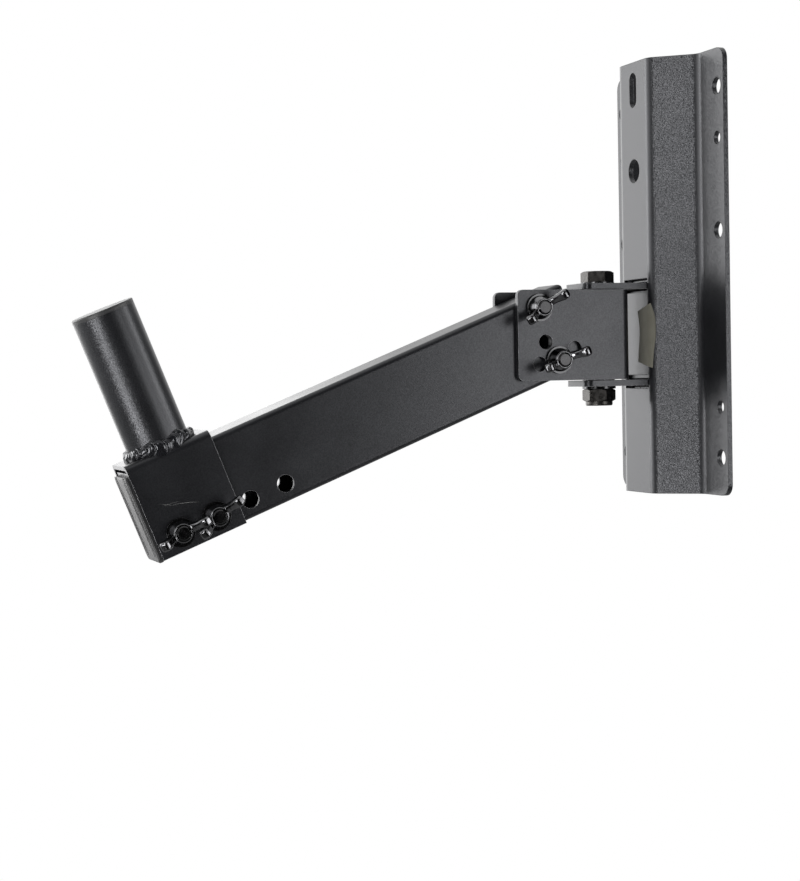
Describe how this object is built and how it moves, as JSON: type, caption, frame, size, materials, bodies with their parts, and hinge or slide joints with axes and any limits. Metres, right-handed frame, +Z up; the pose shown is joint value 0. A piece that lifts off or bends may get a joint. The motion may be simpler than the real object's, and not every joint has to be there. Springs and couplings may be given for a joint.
{
  "type": "speaker wall bracket",
  "caption": "Wall bracket with a swivelling, tilting box-tube arm that carries an upright pole for a loudspeaker.",
  "frame": {"origin": "centre of the outer rectangle of wall screw holes, on the wall plane", "axes": "+Y into the wall, -Y into the room, +Z up, +X to the right seen from the room"},
  "size_m": [0.132, 0.3638, 0.2821],
  "materials": {
    "powder_coated_steel": "fine textured satin powder coat",
    "black_plated_steel": "glossy black plating",
    "black_plastic": "satin",
    "nylon": "satin",
    "plain_steel": "turned"
  },
  "bodies": {
    "wall_part": {"wall_plate": "powder_coated_steel", "swivel_yoke": "powder_coated_steel", "swivel_bolt": "black_plated_steel", "swivel_head_washer": "black_plated_steel", "swivel_nut_washer": "black_plated_steel", "swivel_lock_nut": "black_plated_steel", "lock_nut_nylon_ring": "nylon"},
    "clevis_part": {"clevis": "powder_coated_steel", "swivel_bush": "plain_steel", "pivot_bolt": "black_plated_steel", "pivot_head_washer": "black_plated_steel", "pivot_nut_washer": "black_plated_steel", "tilt_lock_bolt": "black_plated_steel", "tilt_lock_head_washer": "black_plated_steel", "tilt_lock_nut_washer": "black_plated_steel"},
    "arm_part": {"arm_tube": "powder_coated_steel", "arm_end_plug": "black_plastic", "pole_sleeve": "powder_coated_steel", "pole_weld": "powder_coated_steel", "speaker_pole": "powder_coated_steel", "pole_cap": "black_plastic", "inner_sleeve_bolt": "black_plated_steel", "inner_sleeve_head_washer": "black_plated_steel", "inner_sleeve_nut_washer": "black_plated_steel", "outer_sleeve_bolt": "black_plated_steel", "outer_sleeve_head_washer": "black_plated_steel", "outer_sleeve_nut_washer": "black_plated_steel"},
    "pivot_nut": {"pivot_wing_nut": "black_plated_steel"},
    "lock_nut": {"tilt_lock_wing_nut": "black_plated_steel"},
    "inner_sleeve_nut": {"inner_sleeve_wing_nut": "black_plated_steel"},
    "outer_sleeve_nut": {"outer_sleeve_wing_nut": "black_plated_steel"}
  },
  "joints": [
    {"name": "swivel", "type": "hinge", "parent": "wall_part", "child": "clevis_part", "pos_m": [0, -0.0515, -0.03375], "axis": [0, 0, 1], "range_deg": [-80, 80]},
    {"name": "tilt", "type": "hinge", "parent": "clevis_part", "child": "arm_part", "pos_m": [0, -0.0977, -0.0179], "axis": [1, 0, 0], "range_deg": [-21.6, 21.6]},
    {"name": "pivot_nut_turn", "type": "hinge", "parent": "clevis_part", "child": "pivot_nut", "pos_m": [0, -0.0977, -0.0179], "axis": [1, 0, 0], "range_deg": [-180, 180]},
    {"name": "lock_nut_turn", "type": "hinge", "parent": "clevis_part", "child": "lock_nut", "pos_m": [0, -0.08574, -0.04812], "axis": [1, 0, 0], "range_deg": [-180, 180]},
    {"name": "inner_sleeve_nut_turn", "type": "hinge", "parent": "arm_part", "child": "inner_sleeve_nut", "pos_m": [0, -0.29136, -0.12953], "axis": [1, 0, 0], "range_deg": [0, 100]},
    {"name": "outer_sleeve_nut_turn", "type": "hinge", "parent": "arm_part", "child": "outer_sleeve_nut", "pos_m": [0, -0.31153, -0.13752], "axis": [1, 0, 0], "range_deg": [0, 105]}
  ]
}
